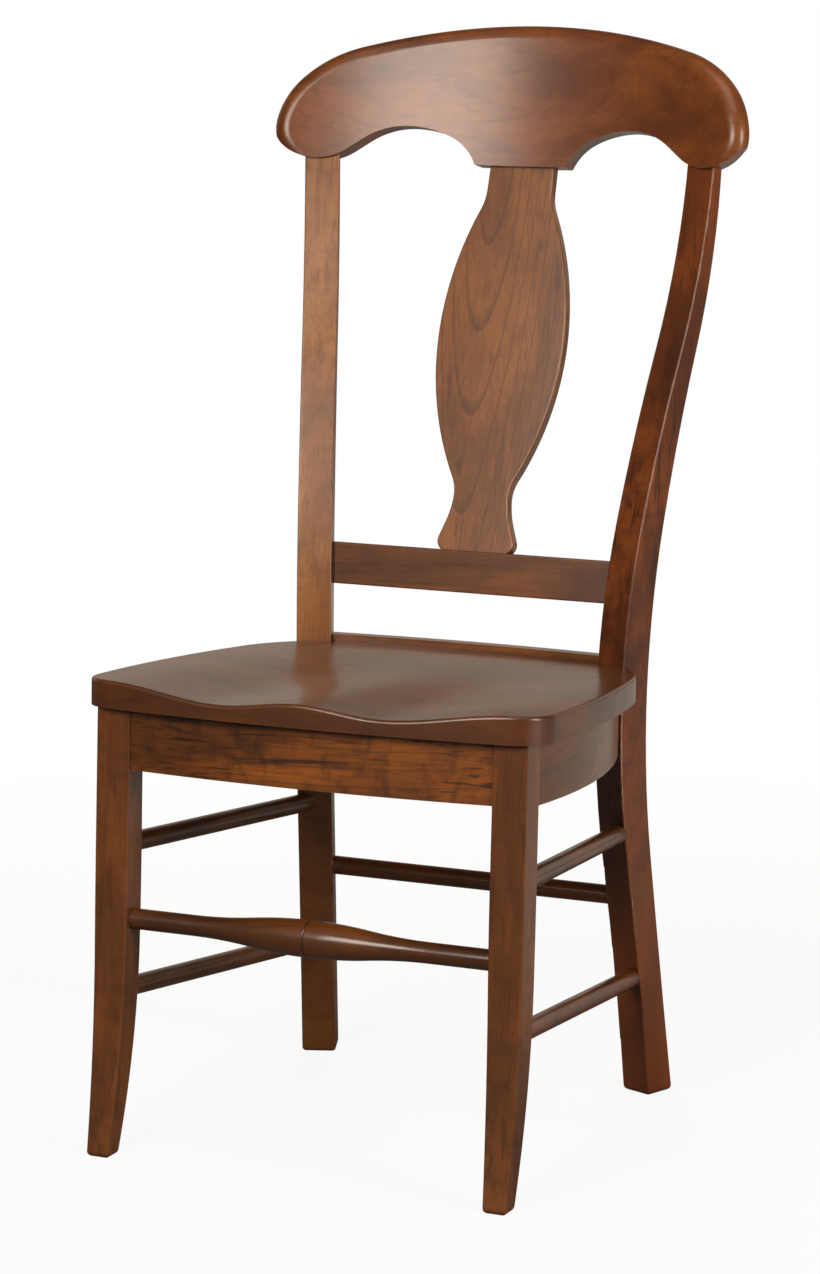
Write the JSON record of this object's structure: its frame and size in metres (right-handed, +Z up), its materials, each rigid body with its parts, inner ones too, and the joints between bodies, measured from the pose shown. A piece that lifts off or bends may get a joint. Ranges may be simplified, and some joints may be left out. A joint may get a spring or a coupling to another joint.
{
  "type": "dining side chair",
  "caption": "Stained hardwood dining side chair with a scooped plank seat, arched crest rail, vase splat, sabre front legs and turned stretchers.",
  "frame": {"origin": "on the floor, at the middle of the chair's width and depth", "axes": "+X to the right as seen from in front of the chair, +Y to the back, +Z up"},
  "size_m": [0.5142, 0.5763, 1.0559],
  "materials": {
    "post_wood": "dark stain under satin lacquer",
    "leg_wood": "dark stain under satin lacquer",
    "seat_wood": "dark stain under satin lacquer",
    "front_apron_wood": "dark stain under satin lacquer",
    "side_apron_wood": "dark stain under satin lacquer",
    "rear_apron_wood": "dark stain under satin lacquer",
    "back_rail_wood": "dark stain under satin lacquer",
    "splat_wood": "dark stain under satin lacquer",
    "crest_wood": "dark stain under satin lacquer",
    "front_stretcher_wood": "dark stain under satin lacquer",
    "rear_stretcher_wood": "dark stain under satin lacquer",
    "side_stretcher_wood": "dark stain under satin lacquer",
    "block_wood": "bare planed hardwood",
    "dowel_wood": "bare turned hardwood",
    "screw_steel": "zinc plated"
  },
  "bodies": {
    "root": {"rear_post_left": "post_wood", "rear_post_right": "post_wood", "front_leg_left": "leg_wood", "front_leg_right": "leg_wood", "seat": "seat_wood", "front_apron": "front_apron_wood", "side_apron_left": "side_apron_wood", "side_apron_right": "side_apron_wood", "rear_apron": "rear_apron_wood", "back_rail": "back_rail_wood", "splat": "splat_wood", "crest_rail": "crest_wood", "front_stretcher": "front_stretcher_wood", "rear_stretcher": "rear_stretcher_wood", "side_stretcher_upper_left": "side_stretcher_wood", "side_stretcher_upper_right": "side_stretcher_wood", "side_stretcher_lower_left": "side_stretcher_wood", "side_stretcher_lower_right": "side_stretcher_wood", "corner_block_front_left": "block_wood", "corner_block_front_right": "block_wood", "corner_block_rear_left": "block_wood", "corner_block_rear_right": "block_wood", "front_apron_dowels": "dowel_wood", "side_apron_dowels": "dowel_wood", "rear_apron_dowels": "dowel_wood", "back_rail_dowels": "dowel_wood", "crest_dowels": "dowel_wood", "corner_block_screws": "screw_steel", "seat_screws": "screw_steel"}
  },
  "joints": []
}
